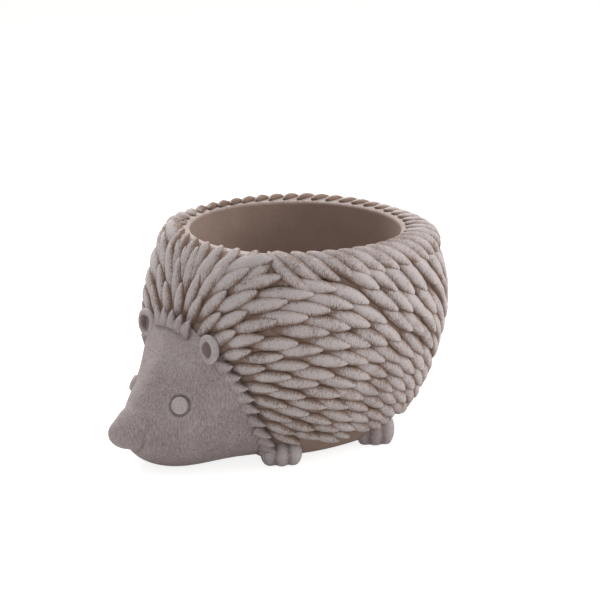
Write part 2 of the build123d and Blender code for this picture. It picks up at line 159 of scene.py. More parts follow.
paper_mesh = bpy.data.meshes.new("paper")
corners = [(x * PAPER_HALF, y * PAPER_HALF, 0) for x, y in ((-1, -1), (1, -1), (1, 1), (-1, 1))]
paper_mesh.from_pydata(corners, [], [(0, 1, 2, 3)])
paper = new_object("paper_floor", paper_mesh)

paper_look = bpy.data.materials.new("matt white paper")
paper_look.use_nodes = True
tree = paper_look.node_tree
tree.nodes.clear()
dull = add_node(tree, "ShaderNodeBsdfDiffuse", {"Color": linear("#E8E6E4")})
shaded = add_node(tree, "ShaderNodeBsdfDiffuse", {"Color": linear("#A8A4A0")})
glow = add_node(tree, "ShaderNodeEmission", {"Color": WHITE, "Strength": PAPER_GLOW})
lit = add_node(tree, "ShaderNodeAddShader", {0: shaded.outputs[0], 1: glow.outputs[0]})
picked = add_node(tree, "ShaderNodeMixShader", {0: seen_rays(tree), 1: dull.outputs[0], 2: lit.outputs[0]})
add_node(tree, "ShaderNodeOutputMaterial", {"Surface": picked.outputs[0]})
paper_mesh.materials.append(paper_look)
print("floor is", 2 * PAPER_HALF, "m wide")

# %% Lamps and surroundings
AIR_LIGHT = 0.33  # strength of the air as a light
SOFT_BOXES = (  # name, place and side in m, power in W
    ("box_behind_left", (-1.3, 0.3, 1.0), 1.2, 25),
    ("box_behind_right", (0.9, 1.5, 0.9), 1.2, 22),
    ("box_above", (0.0, 0.1, 1.7), 1.4, 9.5),
    ("box_by_the_camera", (1.3, -1.3, 1.0), 1.4, 5.2),
)

for name, place, box_side, watts in SOFT_BOXES:
    lamp = bpy.data.lights.new(name, "AREA")
    lamp.shape = "SQUARE"
    lamp.size = box_side
    lamp.energy = watts
    stand = new_object(name, lamp)
    stand.location = place
    stand.rotation_euler = (VIEW_TARGET - Vector(place)).to_track_quat("-Z", "Y").to_euler()

studio = bpy.data.worlds.new("studio")
studio.use_nodes = True
tree = studio.node_tree
tree.nodes.clear()
strength = add_node(tree, "ShaderNodeMapRange",
                    {"Value": seen_rays(tree), "To Min": AIR_LIGHT, "To Max": 1.0})
air = add_node(tree, "ShaderNodeBackground", {"Color": WHITE, "Strength": strength.outputs[0]})
add_node(tree, "ShaderNodeOutputWorld", {"Surface": air.outputs[0]})
bpy.context.scene.world = studio
bpy.context.scene.view_settings.view_transform = "Standard"


# %% [markdown]
# ## The finish: stained and dry-brushed cement
#
# The mix is cement with fine sand, poured in a rubber mould, so its skin is matt and close,
# with a few pinholes where air was caught. The maker washes it with a dark stain, which stays
# in the hollows, and then drags an almost dry brush of pale paint over it. The brush only
# touches what stands proud. So the colour follows the height of the surface: each mesh below
# carries an attribute named crest, 0 in a hollow and 1 on a ridge, and the material turns it
# into paint with a ragged, streaky edge. Cement reflects as a plain dull solid does: an IOR of
# 1.5, which the shader has of itself, and a roughness of 0.84 to 0.97.

# %% The cement's colours and pattern sizes
BROWN_STAIN = (linear("#735D51"), linear("#937B6D"))
GREY_STAIN = (linear("#6F5F5D"), linear("#8C7C79"))
BOWL_STAIN = (linear("#836F64"), linear("#A18B80"))
PAINT_PALE = linear("#C4BCBC")
PINHOLE = linear("#2A211D")
CLOUD_MM = 22.0  # soft clouds in the stain
CLOUD_EDGE = 0.16  # how softly its deep and its light colour part
SAND_MM = 0.9  # sand grains, drawn twice as coarse as they are so that they show
SAND_SHADES = (0.90, 1.10)  # of the stain, from a dark grain to a light one
STREAK_MM = 0.7  # one hair of the brush, drawn coarser than it is
HAIR_RAGGED = 1.5  # how far the hairs break up the edge of the paint
GRAIN_RAGGED = 0.7  # and how far the grains do
LUMP_MM = 5.0  # unevenness left by the sculptor's fingers
LUMP_DEPTH = 3  # how much deeper it is than the grain
PINHOLE_GRID_MM = 17.0  # about one pinhole in this distance
PINHOLE_MM = 0.45  # radius of a pinhole
PLANTER_TOP_MM = 141.0  # the planter's height; the paint thins towards the ground, a painted shade of the lower parts
LOW_PAINT_SHADE = 0.12
ROUGHNESS = (0.84, 0.97)


def cast_cement(name, paint_from, paint_to, paint_most, stroke, relief, patch, stain_pair):
    """Stained cement with dry-brushed paint. Paint starts where the crest attribute passes
    paint_from and is at its fullest, paint_most, at paint_to. Stroke stretches the brush
    marks along x, y and z, relief is the depth in mm of the grain, and patch is how
    strongly stain and paint change from place to place. The stain pair is its deep and its
    light colour."""
    look = bpy.data.materials.new(name)
    look.use_nodes = True
    tree = look.node_tree
    shader = tree.nodes["Principled BSDF"]
    place = add_node(tree, "ShaderNodeTexCoord").outputs["Object"]
    crest = add_node(tree, "ShaderNodeAttribute", attribute_name="crest").outputs["Fac"]

    along = add_node(tree, "ShaderNodeMapping", {"Vector": place, "Scale": stroke}).outputs[0]
    cloud, sand, streak, lump = [
        add_node(tree, "ShaderNodeTexNoise", {"Vector": vector, "Scale": per_metre(cell_mm),
                                              "Detail": detail, "Roughness": roughness}).outputs["Fac"]
        for vector, cell_mm, detail, roughness in (
            (place, CLOUD_MM, 4.0, 0.6), (place, SAND_MM, 3.0, 0.7),
            (along, STREAK_MM, 3.0, 0.65), (place, LUMP_MM, 2.0, 0.5))]

    # the stain: clouds first, then the sand shows through it
    clouded = add_node(tree, "ShaderNodeMapRange", {"Value": cloud, "From Min": 0.5 - CLOUD_EDGE / patch,
                                                    "From Max": 0.5 + CLOUD_EDGE / patch})
    stain = add_node(tree, "ShaderNodeMix", {0: clouded.outputs[0], 6: stain_pair[0], 7: stain_pair[1]},
                     data_type="RGBA")
    sanded = add_node(tree, "ShaderNodeMapRange", {"Value": sand, "From Min": 0.35, "From Max": 0.65,
                                                   "To Min": SAND_SHADES[0], "To Max": SAND_SHADES[1]})
    grained = add_node(tree, "ShaderNodeVectorMath", {0: stain.outputs[2], "Scale": sanded.outputs[0]},
                       operation="SCALE")

    # the paint: clouds, height above the floor, hairs and sand each add to the crest or take from it; less
    # paint lower down is painted shade
    # painted shade: the crest is lowered near the ground and raised near the top, as if all light fell from
    # above
    level = add_node(tree, "ShaderNodeSeparateXYZ", {0: place}).outputs[2]
    shade_by_height = add_node(tree, "ShaderNodeMapRange",
                     {"Value": level, "From Min": 0.0, "From Max": PLANTER_TOP_MM * MM,
                      "To Min": 0.5 - LOW_PAINT_SHADE, "To Max": 0.5 + LOW_PAINT_SHADE}).outputs[0]
    mark = crest
    for share, weight in ((cloud, patch), (shade_by_height, 1.0), (streak, HAIR_RAGGED), (sand, GRAIN_RAGGED)):
        swing = add_node(tree, "ShaderNodeMath", {0: share, 1: 0.5}, operation="SUBTRACT")
        mark = add_node(tree, "ShaderNodeMath", {0: swing.outputs[0], 1: weight, 2: mark},
                        operation="MULTIPLY_ADD").outputs[0]
    painted = add_node(tree, "ShaderNodeMapRange",
                       {"Value": mark, "From Min": paint_from, "From Max": paint_to,
                        "To Max": paint_most}, interpolation_type="SMOOTHSTEP")
    coated = add_node(tree, "ShaderNodeMix",
                      {0: painted.outputs[0], 6: grained.outputs[0], 7: PAINT_PALE}, data_type="RGBA")

    # the pinholes: a point in some of the cells of a wide grid
    bubble = add_node(tree, "ShaderNodeTexVoronoi",
                      {"Vector": place, "Scale": per_metre(PINHOLE_GRID_MM), "Randomness": 1.0})
    hole = add_node(tree, "ShaderNodeMath",
                    {0: bubble.outputs["Distance"], 1: PINHOLE_MM / PINHOLE_GRID_MM},
                    operation="LESS_THAN").outputs[0]
    final = add_node(tree, "ShaderNodeMix", {0: hole, 6: coated.outputs[2], 7: PINHOLE}, data_type="RGBA")

    dull = add_node(tree, "ShaderNodeMapRange",
                    {"Value": sand, "To Min": ROUGHNESS[0], "To Max": ROUGHNESS[1]})

    # the relief: grain, brush marks, lumps and pinholes as heights in metres
    height = 0.0
    for share, depth_mm in ((sand, relief), (streak, relief), (lump, LUMP_DEPTH * relief),
                            (hole, -PINHOLE_MM)):
        height = add_node(tree, "ShaderNodeMath", {0: share, 1: depth_mm * MM, 2: height},
                          operation="MULTIPLY_ADD").outputs[0]
    rough = add_node(tree, "ShaderNodeBump", {"Height": height, "Distance": 1.0, "Strength": 1.0})
    for key, socket in (("Base Color", final.outputs[2]), ("Roughness", dull.outputs[0]),
                        ("Normal", rough.outputs[0])):
        tree.links.new(socket, shader.inputs[key])
    return look


# %% The three finishes of the casting, and the bung's rubber
quill_cement = cast_cement("cast cement, dry-brushed quills", paint_from=0.42, paint_to=1.12,
                           paint_most=0.93, stroke=(1.0, 1.0, 0.22), relief=0.10, patch=0.9,
                           stain_pair=BROWN_STAIN)
face_cement = cast_cement("cast cement, brushed face and paws", paint_from=-0.05, paint_to=1.15,
                          paint_most=0.85, stroke=(1.0, 1.0, 0.18), relief=0.10, patch=0.3,
                          stain_pair=GREY_STAIN)
bowl_cement = cast_cement("cast cement, stained bowl", paint_from=0.60, paint_to=1.60,
                          paint_most=0.75, stroke=(0.6, 0.6, 0.3), relief=0.05, patch=0.3,
                          stain_pair=BOWL_STAIN)

# Natural rubber, pressed in a mould: dark and matt, with a faint bloom on it.
BLOOM_MM = 3.0
BLOOM_RELIEF = 0.1 * MM
RUBBER_ROUGHNESS = 0.62
RUBBER_IOR = 1.52
bung_rubber = bpy.data.materials.new("pressed natural rubber, bung")
bung_rubber.use_nodes = True
tree = bung_rubber.node_tree
place = add_node(tree, "ShaderNodeTexCoord").outputs["Object"]
bloom = add_node(tree, "ShaderNodeTexNoise", {"Vector": place, "Scale": per_metre(BLOOM_MM), "Detail": 4.0})
toned = add_node(tree, "ShaderNodeMix",
                 {0: bloom.outputs["Fac"], 6: linear("#2B2725"), 7: linear("#4A4542")}, data_type="RGBA")
skin = add_node(tree, "ShaderNodeBump", {"Height": bloom.outputs["Fac"], "Distance": BLOOM_RELIEF})
rubber_shader = tree.nodes["Principled BSDF"]
tree.links.new(toned.outputs[2], rubber_shader.inputs["Base Color"])
tree.links.new(skin.outputs[0], rubber_shader.inputs["Normal"])
rubber_shader.inputs["Roughness"].default_value = RUBBER_ROUGHNESS
rubber_shader.inputs["IOR"].default_value = RUBBER_IOR
print("finishes:", [m.name for m in (quill_cement, face_cement, bowl_cement, bung_rubber)])


# %% [markdown]
# ## Clean copies of the CAD pieces
#
# A CAD piece comes as loose triangles. It is fine to look at, but to reshape it or to measure
# it we need a copy whose triangles are joined. The CAD piece itself is never touched.

# %% Joined copies
def joined_copy(name, *node_names):
    """One new mesh object with the triangles of these CAD nodes, merged where they meet."""
    points = []
    faces = []
    for node_name in node_names:
        source = cad[node_name].data
        start = len(points)
        points += [tuple(v.co) for v in source.vertices]
        faces += [tuple(start + i for i in p.vertices) for p in source.polygons]
    mesh = bpy.data.meshes.new(name)
    mesh.from_pydata(points, [], faces)
    copy = new_object(name, mesh)
    weld = copy.modifiers.new("weld", "WELD")
    weld.merge_threshold = 0.002 * MM
    return baked(copy)


def baked(piece):
    """Turns a piece with modifiers into a plain mesh piece of the same name."""
    view = bpy.context.evaluated_depsgraph_get()
    mesh = bpy.data.meshes.new_from_object(piece.evaluated_get(view), preserve_all_data_layers=True,
                                           depsgraph=view)
    old = piece.data
    name = piece.name
    piece.modifiers.clear()
    piece.data = mesh
    bpy.data.meshes.remove(old)
    mesh.name = name
    return piece


def point_table(mesh, field="co"):
    """The mesh's points, or their normals with "normal", as rows of x, y and z."""
    table = np.zeros(len(mesh.vertices) * 3)
    mesh.vertices.foreach_get(field, table)
    return table.reshape(-1, 3)


def edge_table(mesh):
    """The two point numbers of each edge."""
    table = np.zeros(len(mesh.edges) * 2, dtype=np.int64)
    mesh.edges.foreach_get("vertices", table)
    return table.reshape(-1, 2)


def store(mesh, name, kind, values):
    """Writes one value for each point of the mesh as a named attribute."""
    held = mesh.attributes.get(name) or mesh.attributes.new(name, kind, "POINT")
    field = "vector" if kind == "FLOAT_VECTOR" else "value"
    held.data.foreach_set(field, np.asarray(values, dtype=np.float32).ravel())


def node_middle(node_name):
    """The middle of a CAD node's box."""
    return np.mean(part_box(node_name), axis=0)


bowl_copy = joined_copy("bowl_measure", "pot_shell")
bowl_tree = BVHTree.FromPolygons(
    [v.co.copy() for v in bowl_copy.data.vertices], [tuple(p.vertices) for p in bowl_copy.data.polygons]
)
print("bowl copy:", len(bowl_copy.data.vertices), "points")


# %% [markdown]
# ## Where the quills lie
#
# Each CAD quill is a small solid of its own. To dress it we need to know how it lies: where its
# root is, where its tip is, how it bends over the bowl between them, and how wide and high it
# is. The long axis of a cloud of points is the direction in which they spread most, which
# NumPy finds as an eigenvector. The tip is the end that stands higher off the bowl.

# %% Measure a quill
END_SHARE = 0.06  # the part of a quill's length that counts as its end
WAIST_SHARE = 0.16  # and the part on each side of its middle that counts as its waist


def islands(mesh):
    """Lists of point numbers, one list for each separate solid in the mesh."""
    label = np.arange(len(mesh.vertices))
    edges = edge_table(mesh)
    while True:
        lowest = np.minimum(label[edges[:, 0]], label[edges[:, 1]])
        before = label.copy()
        np.minimum.at(label, edges[:, 0], lowest)
        np.minimum.at(label, edges[:, 1], lowest)
        label = label[label]
        if np.array_equal(before, label):
            return [np.flatnonzero(label == root) for root in np.unique(label)]


def directions(root, tip, normal):
    """The directions along a quill, across it and out of the bowl."""
    run = (tip - root) / np.linalg.norm(tip - root)
    out = normal - run * (normal @ run)
    out = out / np.linalg.norm(out)
    return run, np.cross(run, out), out


def laid_quill(root, middle, tip, normal, breadth, stand):
    """The measures of a quill whose middle line runs through these three places. Breadth and
    stand are its half width and its half height."""
    _, across, out = directions(root, tip, normal)
    return {"root": root, "bend": 2 * middle - (root + tip) / 2, "tip": tip, "across": across,
            "out": out, "breadth": breadth, "stand": stand}


def measure_quill(points):
    """The measures of the small CAD solid that has these points."""
    middle = points.mean(axis=0)
    run = np.linalg.eigh(np.cov((points - middle).T))[1][:, 2]
    share = (points - middle) @ run
    low, high = share.min(), share.max()
    ends = [points[share <= low + END_SHARE * (high - low)].mean(axis=0),
            points[share >= high - END_SHARE * (high - low)].mean(axis=0)]
    ends = [end + run * (edge - (end - middle) @ run) for end, edge in zip(ends, (low, high))]
    found = [bowl_tree.find_nearest(Vector(end)) for end in ends]
    heights = [(Vector(end) - place).dot(normal) for end, (place, normal, _, _) in zip(ends, found)]
    if heights[0] > heights[1]:
        ends.reverse()
    root, tip = ends
    normal = np.array(bowl_tree.find_nearest(Vector(middle))[1])
    run, across, out = directions(root, tip, normal)
    waist = points[np.abs((points - middle) @ run) < WAIST_SHARE * (high - low)] - middle
    sides, rises = waist @ across, waist @ out
    centre = middle + across * (sides.max() + sides.min()) / 2 + out * (rises.max() + rises.min()) / 2
    centre = centre - run * ((centre - (root + tip) / 2) @ run)
    return laid_quill(root, centre, tip, normal, (sides.max() - sides.min()) / 2,
                      (rises.max() - rises.min()) / 2)


def measured(node_name):
    """The measures of all the small solids of a CAD node."""
    copy = joined_copy(node_name + "_measure", node_name)
    table = point_table(copy.data)
    found = [measure_quill(table[island]) for island in islands(copy.data)]
    bpy.data.objects.remove(copy)
    return found


# %% [markdown]
# Round the opening the real quills are in order: in front they end in a low crest on the
# narrow rim, and from there to the tail one row starts at the edge and sweeps down and back.
# Both rows are laid by rays cast on the bowl's skin. A bearing is an angle round the opening,
# 0 at the front and positive on the left.

# %% The two rows round the opening
CREST_COUNT = 10
CREST_ARC = math.radians(44)  # on each side of the front
CREST_LENGTH = 24 * MM
CREST_STAND = 2.6 * MM  # of the tips over the rim
CREST_RADIUS = 74.5 * MM  # of the tips round the opening
CREST_FAN = (0.62, 0.84)  # bearings of root and middle, as shares of the tip's
CREST_MIDDLE = 0.38  # how far under the rim the middle is, as a share of the length
CREST_HALVES = (5.2 * MM, 3.8 * MM)  # breadth and stand
RIM_COUNT = 18  # on each side, from the crest to the tail
RIM_RADIUS = 72.2 * MM
RIM_PROUD = 1.6 * MM
RIM_HALVES = (4.5 * MM, 4.1 * MM)
RIM_SWEEP = math.radians(22)
RIM_DROP = 15 * MM
BACK_DROP = 20 * MM  # the drop at the tail
BACK_FROM = math.radians(95)  # from this bearing to the tail the sweep dies down
BACK_ARC = math.radians(85)  # the rest of the half turn
RIM_FILL = 7 * MM  # one lower quill closes the fork where the two rows part
RIM_EARLY = 0.25  # steps by which the row starts before the crest's end
FILL_EARLY = 0.7  # and by which the lower quill does
rim_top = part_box("pot_shell")[1][2]
opening_y = node_middle("drain_bung")[1]


def on_skin(bearing, height):
    """The bowl's outer skin and its normal at a bearing and a height."""
    heading = Vector((math.sin(bearing), -math.cos(bearing), 0))
    start = Vector((0, opening_y, height)) + heading * 0.3
    place, normal, _, _ = bowl_tree.ray_cast(start, -heading)
    return np.array(place), np.array(normal)


def by_the_opening(bearing, radius, height):
    """A place at a bearing and a distance from the opening's middle."""
    return np.array((radius * math.sin(bearing), opening_y - radius * math.cos(bearing), height))


def crest_quill(bearing):
    """A quill that rises from the forehead to the front of the opening and stands over it."""
    root, _ = on_skin(CREST_FAN[0] * bearing, rim_top - CREST_LENGTH)
    middle, out = on_skin(CREST_FAN[1] * bearing, rim_top - CREST_MIDDLE * CREST_LENGTH)
    tip = by_the_opening(bearing, CREST_RADIUS, rim_top + CREST_STAND)
    return laid_quill(root, middle, tip, out, *CREST_HALVES)


def rim_quill(bearing, lower=0.0):
    """A quill that starts at the edge of the opening and sweeps down towards the tail. Its
    middle has less than half of the sweep and the drop, so that it hugs the rim first."""
    behind = max(0.0, (abs(bearing) - BACK_FROM) / BACK_ARC)
    sweep = math.copysign(1, bearing) * (1 - behind) * RIM_SWEEP
    drop = RIM_DROP + behind * (BACK_DROP - RIM_DROP)
    root = by_the_opening(bearing, RIM_RADIUS, rim_top + RIM_PROUD)
    middle, out = on_skin(bearing + 0.45 * sweep, rim_top - 0.26 * drop - 0.6 * lower)
    tip, _ = on_skin(bearing + sweep, rim_top - drop - lower)
    return laid_quill(root, middle + out * RIM_PROUD, tip + out * RIM_PROUD, out, *RIM_HALVES)


def rows_of(side):
    """Both rows of one side. The last rim quill is half a step from the tail, and the first
    crest quill is half a step from the front."""
    step = (math.pi - CREST_ARC) / (RIM_COUNT - RIM_EARLY - 0.5)
    rows = [rim_quill(side * (CREST_ARC + step * (k - RIM_EARLY))) for k in range(RIM_COUNT)]
    rows.append(rim_quill(side * (CREST_ARC - FILL_EARLY * step), RIM_FILL))
    step = 2 * CREST_ARC / (CREST_COUNT - 1)
    return rows + [crest_quill(side * step * (k + 0.5)) for k in range(CREST_COUNT // 2)]


# %% [markdown]
# All the other quills are measured. They are drawn longer at both ends than the CAD has them,
# so that each tip lies over the root of the next one, but no tip stands high over the rim.

# %% Measure and lay the zones
STRETCH = 0.14  # shares of its length that a quill gains at the tip
ROOT_STRETCH = 0.05  # and at the root
TIP_LIFT = 0.5 * MM
TIP_OVER_RIM = 1.0 * MM


def stretched(quill):
    """The same quill, longer at both ends."""
    run = quill["tip"] - quill["root"]
    tip = quill["tip"] + STRETCH * run + quill["out"] * TIP_LIFT
    tip[2] = min(tip[2], rim_top + TIP_OVER_RIM)
    return dict(quill, root=quill["root"] - ROOT_STRETCH * run, tip=tip)


quill_nodes = sorted(name for name in cad if name.endswith("_quills"))
coats = {"left_rim_quills": rows_of(1), "right_rim_quills": rows_of(-1)}
for node_name in quill_nodes:
    if node_name not in coats:
        coats[node_name] = [stretched(quill) for quill in measured(node_name)]
every = [quill for coat in coats.values() for quill in coat]
lengths = [np.linalg.norm(quill["tip"] - quill["root"]) / MM for quill in every]
print("quills:", len(every), "in", len(coats), "zones")
print("length in mm:", round(min(lengths), 1), "to", round(max(lengths), 1))
for key in ("breadth", "stand"):
    print(key, "in mm:", round(np.mean([quill[key] for quill in every]) / MM, 2))


# %% [markdown]
# ## One quill
#
# On the real casting a quill is a long leaf of mix with a rounded back. It comes out of the
# skin as a fine point, is widest past its middle, and ends in a blunt tip. We make one quill
# of ninety faces, and let Geometry Nodes lay it hundreds of times. Its points are not places
# in millimetres but shares: how far along the quill, how far across, how far out. The brush
# skips the root, so the crest attribute fades in there and stays full to the tip. The quills
# of the rows round the opening are as full at the root as at the tip.

# %% The master quill
def leaf_mesh(name, rings, sides, width_at, height_at, crest_at, boxy):
    """A closed leaf along its length. The three functions give its half width, its half
    height and how much paint its ridge takes, all at a share of its length. Boxy is 1 for
    an oval section and less for a squarer one."""
    places = [(0.0, 0.0, 0.0)]
    crests = [crest_at(0.0)]
    for ring in range(1, rings + 1):
        share = 0.5 - 0.5 * math.cos(math.pi * ring / (rings + 1))
        for side in range(sides):
            turn = 2 * math.pi * side / sides
            lift = math.sin(turn)
            back = math.copysign(abs(lift) ** boxy, lift)
            places.append((share, width_at(share) * math.cos(turn), height_at(share) * back))
            crests.append(max(0.0, lift) * crest_at(share))
    places.append((1.0, 0.0, 0.0))
    crests.append(0.5 * crest_at(1.0))
    last = len(places) - 1
    faces = [(1 + r * sides + s, 1 + r * sides + (s + 1) % sides,
              1 + (r + 1) * sides + (s + 1) % sides, 1 + (r + 1) * sides + s)
             for r in range(rings - 1) for s in range(sides)]
    faces += [(0, 1 + (s + 1) % sides, 1 + s) for s in range(sides)]
    faces += [(last, last - sides + s, last - sides + (s + 1) % sides) for s in range(sides)]
    mesh = bpy.data.meshes.new(name)
    mesh.from_pydata(places, [], faces)
    store(mesh, "place", "FLOAT_VECTOR", places)
    store(mesh, "crest", "FLOAT", crests)
    return bpy.data.objects.new(name, mesh)


def quill_width(share):
    return math.sin(math.pi * share ** 1.18) ** 0.54


def quill_height(share):
    return math.sin(math.pi * share ** 1.35) ** 0.62


def quill_crest(share):
    return min(1.0, max(0.0, (share - 0.04) / 0.30))


def rim_section(share):
    return math.sin(math.pi * share) ** 0.5


def rim_crest(share):
    return 0.84


master_rim = leaf_mesh("rim_quill_master", 8, 10, rim_section, rim_section, rim_crest, boxy=1.0)
master_quill = leaf_mesh("quill_master", 8, 10, quill_width, quill_height, quill_crest, boxy=1.0)
print("one quill has", len(master_quill.data.polygons), "faces")

# %% [markdown]
# The fringe round the face is a row of teeth. A tooth is a flat triangle with a sharp tip. It
# leaves the cheek at its full width, narrows from a quarter of its length on, and keeps its
# thickness for two thirds of it.

# %% The master tooth
def tooth_width(share):
    return min(1.0, 1.25 * (1 - share) + 0.03)


def tooth_height(share):
    return min(1.0, 2.4 * (1 - share) + 0.15)


def tooth_crest(share):
    return 0.60 + 0.30 * share


master_tooth = leaf_mesh("tooth_master", 7, 8, tooth_width, tooth_height, tooth_crest, boxy=0.4)
print("one tooth has", len(master_tooth.data.polygons), "faces")


# %% [markdown]
# ## The tree that lays the coat
#
# The tree takes one point for each quill. Instance on Points puts a master quill on each, and
# Realize Instances makes them real, with the point's attributes copied to every point of its
# quill. Then one Set Position bends each quill: two mixes between root, bend and tip, and a mix
# of the two, is a smooth curve through the quill's middle line, and the shares across and out
# are added to it. A second Set Position adds the unevenness of a hand-made model.

# %% Geometry Nodes tree
coat_tree = bpy.data.node_groups.new("quill coat", "GeometryNodeTree")
for name, kind in (("Spots", "Geometry"), ("Quill", "Object"), ("Fullness", "Float"),
                   ("Spread", "Float"), ("Unevenness", "Float"), ("Lump size", "Float"), ("Seed", "Int"),
                   ("Finish", "Material")):
    coat_tree.interface.new_socket(name, in_out="INPUT", socket_type="NodeSocket" + kind)
coat_tree.interface.new_socket("Coat", in_out="OUTPUT", socket_type="NodeSocketGeometry")

given = add_node(coat_tree, "NodeGroupInput").outputs
least = add_node(coat_tree, "ShaderNodeMath", {0: 1.0, 1: given["Spread"]}, operation="SUBTRACT")
most = add_node(coat_tree, "ShaderNodeMath", {0: 1.0, 1: given["Spread"]}, operation="ADD")
chance = add_node(coat_tree, "FunctionNodeRandomValue",
                  {2: least.outputs[0], 3: most.outputs[0], "Seed": given["Seed"]}, data_type="FLOAT")
varied = add_node(coat_tree, "GeometryNodeStoreNamedAttribute",
                  {"Geometry": given["Spots"], "Name": "vary", "Value": chance.outputs[1]},
                  data_type="FLOAT", domain="POINT")
shape = add_node(coat_tree, "GeometryNodeObjectInfo", {"Object": given["Quill"]})
laid = add_node(coat_tree, "GeometryNodeInstanceOnPoints",
                {"Points": varied.outputs[0], "Instance": shape.outputs["Geometry"]})
real = add_node(coat_tree, "GeometryNodeRealizeInstances", {"Geometry": laid.outputs[0]})

VECTORS = ("root", "bend", "tip", "across", "out")
NUMBERS = ("breadth", "stand")
held = {
    name: add_node(coat_tree, "GeometryNodeInputNamedAttribute", {"Name": name}, data_type=kind).outputs[0]
    for kind, names in (("FLOAT_VECTOR", ("place",) + VECTORS), ("FLOAT", ("vary",) + NUMBERS))
    for name in names
}
shares = add_node(coat_tree, "ShaderNodeSeparateXYZ", {0: held["place"]}).outputs
curve = [held["root"], held["bend"], held["tip"]]
while len(curve) > 1:
    curve = [add_node(coat_tree, "ShaderNodeMix", {0: shares[0], 4: a, 5: b}, data_type="VECTOR").outputs[1]
             for a, b in zip(curve, curve[1:])]
wide = shares[1]
for factor in (held["breadth"], held["vary"], given["Fullness"]):
    wide = add_node(coat_tree, "ShaderNodeMath", {0: wide, 1: factor}, operation="MULTIPLY").outputs[0]
high = add_node(coat_tree, "ShaderNodeMath", {0: shares[2], 1: held["stand"]}, operation="MULTIPLY")
spot = curve[0]
for direction, reach in ((held["across"], wide), (held["out"], high.outputs[0])):
    away = add_node(coat_tree, "ShaderNodeVectorMath", {0: direction, "Scale": reach}, operation="SCALE")
    spot = add_node(coat_tree, "ShaderNodeVectorMath", {0: spot, 1: away.outputs[0]},
                    operation="ADD").outputs[0]
bent = add_node(coat_tree, "GeometryNodeSetPosition", {"Geometry": real.outputs[0], "Position": spot})

where = add_node(coat_tree, "GeometryNodeInputPosition")
pitch = add_node(coat_tree, "ShaderNodeMath", {0: 1.0, 1: given["Lump size"]}, operation="DIVIDE")
noise = add_node(coat_tree, "ShaderNodeTexNoise",
                 {"Vector": where.outputs[0], "Scale": pitch.outputs[0], "Detail": 1.0})
swing = add_node(coat_tree, "ShaderNodeMath", {0: noise.outputs[0], 1: 0.5}, operation="SUBTRACT")
push = add_node(coat_tree, "ShaderNodeMath", {0: swing.outputs[0], 1: given["Unevenness"]},
                operation="MULTIPLY")
facing = add_node(coat_tree, "GeometryNodeInputNormal")
shove = add_node(coat_tree, "ShaderNodeVectorMath", {0: facing.outputs[0], "Scale": push.outputs[0]},
                 operation="SCALE")
worn = add_node(coat_tree, "GeometryNodeSetPosition",
                {"Geometry": bent.outputs[0], "Offset": shove.outputs[0]})
smooth = add_node(coat_tree, "GeometryNodeSetShadeSmooth", {"Geometry": worn.outputs[0]})
real_again = add_node(coat_tree, "GeometryNodeRealizeInstances", {"Geometry": smooth.outputs[0]})
finished = add_node(coat_tree, "GeometryNodeSetMaterial",
                    {"Geometry": real_again.outputs[0], "Material": given["Finish"]})
add_node(coat_tree, "NodeGroupOutput", {"Coat": finished.outputs[0]})
print("the tree has", len(coat_tree.nodes), "nodes")


# %% [markdown]
# ## Lay the coat, zone by zone
#
# A zone of quills is one piece of the model, so each zone becomes one mesh. Its points carry
# the measures as attributes, the tree turns them into quills, and the result is baked into a
# plain mesh that rides with the planter and stands for the CAD zone.

# %% Coat the planter
QUILL_FULLNESS = 1.06  # of the half width, against the CAD's
QUILL_SPREAD = 0.07  # how far a quill's width may vary, up or down
UNEVENNESS = 0.9 * MM
QUILL_LUMP = 6.0 * MM
FIRST_SEED = 11
FRINGE_SEED = 5


def lay_leaves(name, quills, master, finish, seed):
    """One piece that holds all the quills of a zone, or all the teeth of the fringe."""
    spots = bpy.data.meshes.new(name)
    spots.from_pydata([tuple(quill["root"]) for quill in quills], [], [])
    for kind, keys in (("FLOAT_VECTOR", VECTORS), ("FLOAT", NUMBERS)):
        for key in keys:
            store(spots, key, kind, [quill[key] for quill in quills])
    piece = new_object(name, spots)
    layer = piece.modifiers.new("coat", "NODES")
    layer.node_group = coat_tree
    wanted = {"Quill": master, "Fullness": QUILL_FULLNESS, "Spread": QUILL_SPREAD,
              "Unevenness": UNEVENNESS, "Lump size": QUILL_LUMP, "Seed": seed, "Finish": finish}
    for socket in coat_tree.interface.items_tree:
        if socket.in_out == "INPUT" and socket.name in wanted:
            layer[socket.identifier] = wanted[socket.name]
    return baked(piece)


for number, node_name in enumerate(quill_nodes):
    master = master_rim if "rim" in node_name else master_quill
    zone = lay_leaves("cast_" + node_name, coats[node_name], master, quill_cement, FIRST_SEED + number)
    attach(zone, "planter")
    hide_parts(node_name)
    print(zone.name, len(coats[node_name]), "quills", len(zone.data.polygons), "faces")


# %% [markdown]
# The teeth of the fringe lie on the roots of the first quills. They are measured and laid in
# the same way, with the tooth as the master and the finish of the face. They are drawn wider
# and prouder than in the CAD, level with the cheek, so that a shadow falls under them. Where an
# ear stands there is no tooth.

# %% Lay the fringe
TOOTH_HALF = 5.2 * MM
TOOTH_THICK = 1.6 * MM
TOOTH_PROUD = 2.0 * MM
TOOTH_SHORTER = 0.22  # share of its length that a tooth loses at the tip
EAR_ROOM = 12.0 * MM

